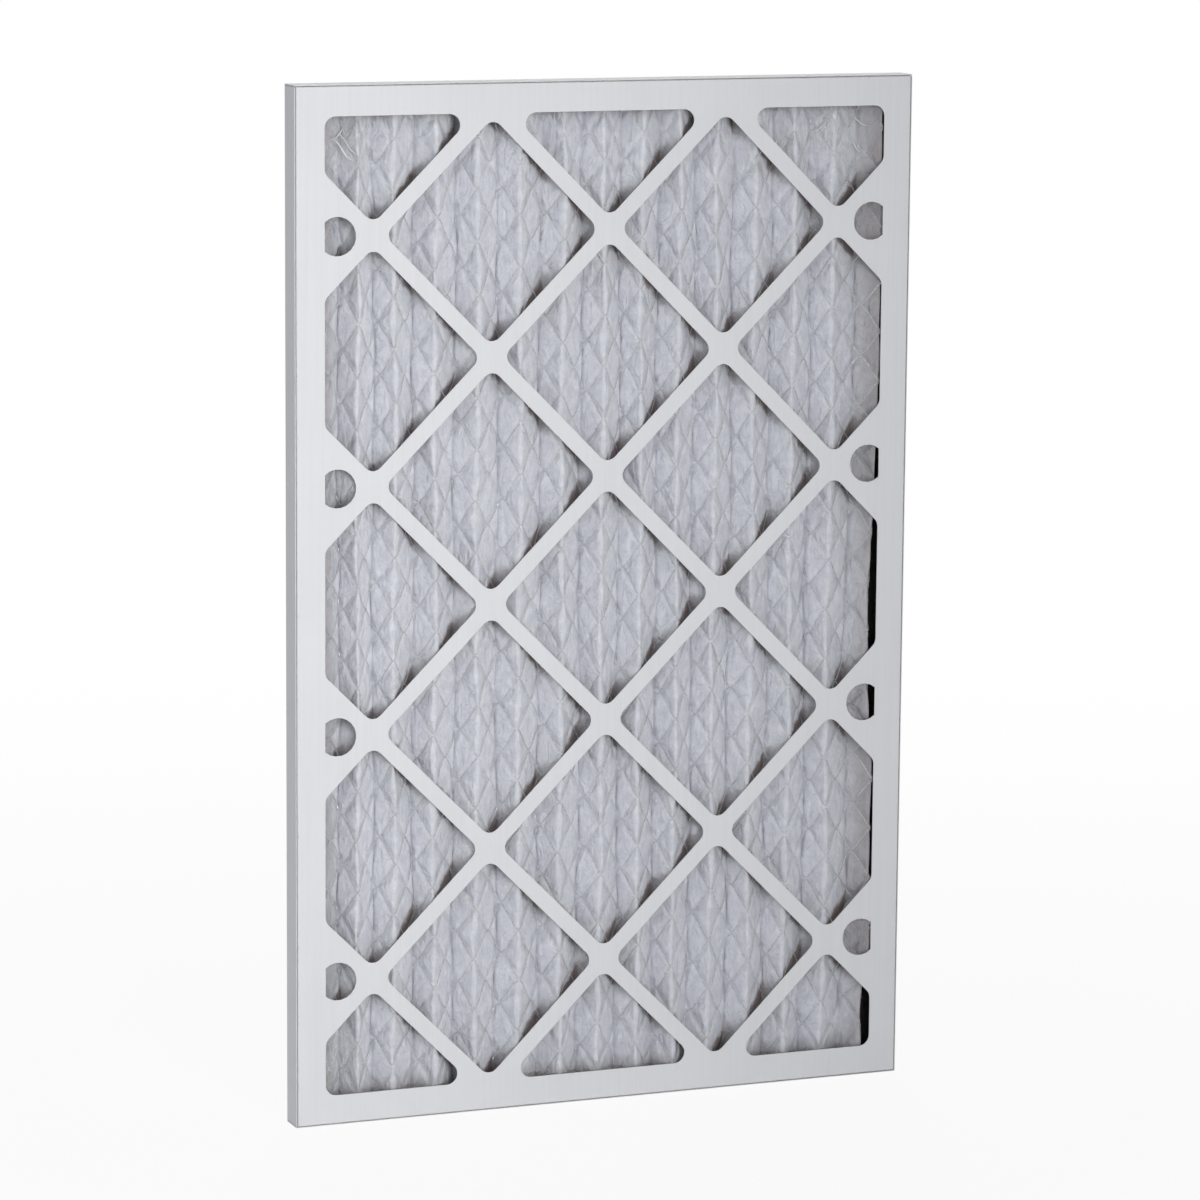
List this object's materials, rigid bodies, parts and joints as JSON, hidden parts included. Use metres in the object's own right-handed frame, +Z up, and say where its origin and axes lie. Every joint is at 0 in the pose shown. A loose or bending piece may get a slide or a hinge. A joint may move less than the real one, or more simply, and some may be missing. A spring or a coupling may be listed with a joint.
{
  "type": "pleated panel air filter",
  "caption": "Flat panel filter: a pleated media pack backed by expanded metal mesh, held between two nested die-cut board trays with diamond lattice faces.",
  "frame": {"origin": "middle of the bottom edge, on the face that the panel stands on", "axes": "X across the width, Y through the depth with the mesh-backed downstream face at -Y, Z up along the pleats"},
  "size_m": [0.3938, 0.019, 0.6223],
  "materials": {
    "front_board": "white coated paperboard, smooth and slightly satin, pale brown on its inner side and cut edges",
    "rear_board": "white coated paperboard, smooth and slightly satin, pale brown on its inner side and cut edges",
    "filter_media": "soft white nonwoven with a cool grey cast, fibrous and matt",
    "galvanised_mesh": "thin galvanised expanded metal, dull grey",
    "glue": "dried white adhesive, slightly glossy"
  },
  "bodies": {
    "root": {"front_frame": "front_board", "rear_frame": "rear_board", "pleated_media": "filter_media", "support_mesh": "galvanised_mesh", "top_glue_bead": "glue", "bottom_glue_bead": "glue"}
  },
  "joints": []
}
